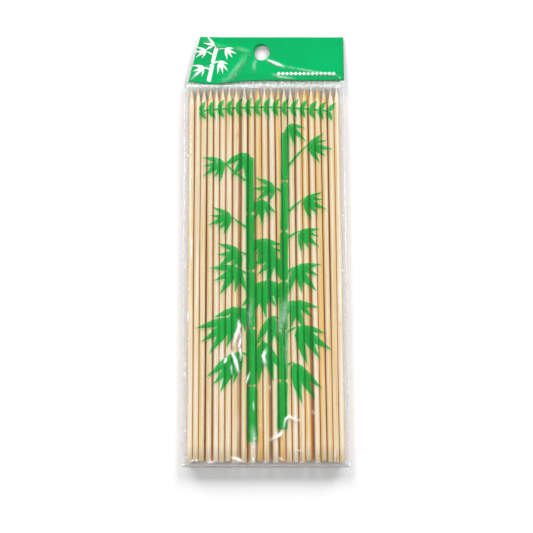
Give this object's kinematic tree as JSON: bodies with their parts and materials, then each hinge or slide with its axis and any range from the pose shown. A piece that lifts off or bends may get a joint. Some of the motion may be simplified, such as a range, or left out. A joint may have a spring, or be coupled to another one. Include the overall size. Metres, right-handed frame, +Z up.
{
  "type": "pack of bamboo sticks",
  "caption": "Flat sealed pouch of clear film with a hang-hole header, full of round bamboo sticks sharpened at one end.",
  "frame": {"origin": "under the middle of the pack as it lies on its back, on the surface it lies on", "axes": "+X across the pack to the right of its printed face, +Y along the sticks from their butts towards the points and the header, +Z up out of the printed face"},
  "size_m": [0.089, 0.2271, 0.0068],
  "materials": {
    "bamboo": "smooth turned bamboo, cut across at the butt and sharpened at the other end",
    "clear_film": "thin clear polypropylene film, glossy and creased",
    "green_ink": "translucent green ink under the gloss of the film",
    "header_green": "opaque green printed film, glossy and creased",
    "white_ink": "white ink on the green film"
  },
  "bodies": {
    "root": {"front_film": "clear_film", "back_film": "clear_film", "header_film": "clear_film", "header_green": "header_green", "header_sprig": "white_ink", "header_rule": "white_ink", "bamboo_print": "green_ink", "garland_print": "green_ink", "stick_front_01": "bamboo", "stick_front_02": "bamboo", "stick_front_03": "bamboo", "stick_front_04": "bamboo", "stick_front_05": "bamboo", "stick_front_06": "bamboo", "stick_front_07": "bamboo", "stick_front_08": "bamboo", "stick_front_09": "bamboo", "stick_front_10": "bamboo", "stick_front_11": "bamboo", "stick_front_12": "bamboo", "stick_front_13": "bamboo", "stick_front_14": "bamboo", "stick_front_15": "bamboo", "stick_front_16": "bamboo", "stick_front_17": "bamboo", "stick_front_18": "bamboo", "stick_front_19": "bamboo", "stick_front_20": "bamboo", "stick_front_21": "bamboo", "stick_front_22": "bamboo", "stick_front_23": "bamboo", "stick_back_01": "bamboo", "stick_back_02": "bamboo", "stick_back_03": "bamboo", "stick_back_04": "bamboo", "stick_back_05": "bamboo", "stick_back_06": "bamboo", "stick_back_07": "bamboo", "stick_back_08": "bamboo", "stick_back_09": "bamboo", "stick_back_10": "bamboo", "stick_back_11": "bamboo", "stick_back_12": "bamboo", "stick_back_13": "bamboo", "stick_back_14": "bamboo", "stick_back_15": "bamboo", "stick_back_16": "bamboo", "stick_back_17": "bamboo", "stick_back_18": "bamboo", "stick_back_19": "bamboo", "stick_back_20": "bamboo", "stick_back_21": "bamboo", "stick_back_22": "bamboo", "stick_back_23": "bamboo", "stick_back_24": "bamboo", "stick_back_25": "bamboo", "stick_back_26": "bamboo"}
  },
  "joints": []
}
